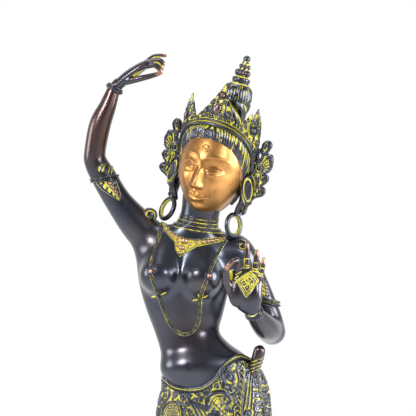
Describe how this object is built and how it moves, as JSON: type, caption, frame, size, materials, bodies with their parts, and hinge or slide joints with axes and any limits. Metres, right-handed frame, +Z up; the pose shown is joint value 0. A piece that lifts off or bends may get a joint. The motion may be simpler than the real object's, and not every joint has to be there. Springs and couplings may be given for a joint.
{
  "type": "standing lady statue on a lotus base",
  "caption": "Cast brass standing lady with one arm raised in an arc over her head, crowned and jewelled, on a low round lotus base.",
  "frame": {"origin": "middle of the base's flat underside", "axes": "+Z up, the lady faces -Y, +X to the viewer's right"},
  "size_m": [0.1622, 0.1198, 0.5685],
  "materials": {
    "patinated_brass": "dark polished patina, rubbed brown on the hands and edges, yellow pigment in the carving, gilt face"
  },
  "bodies": {
    "root": {"figure": "patinated_brass", "lotus_base": "patinated_brass"}
  },
  "joints": []
}
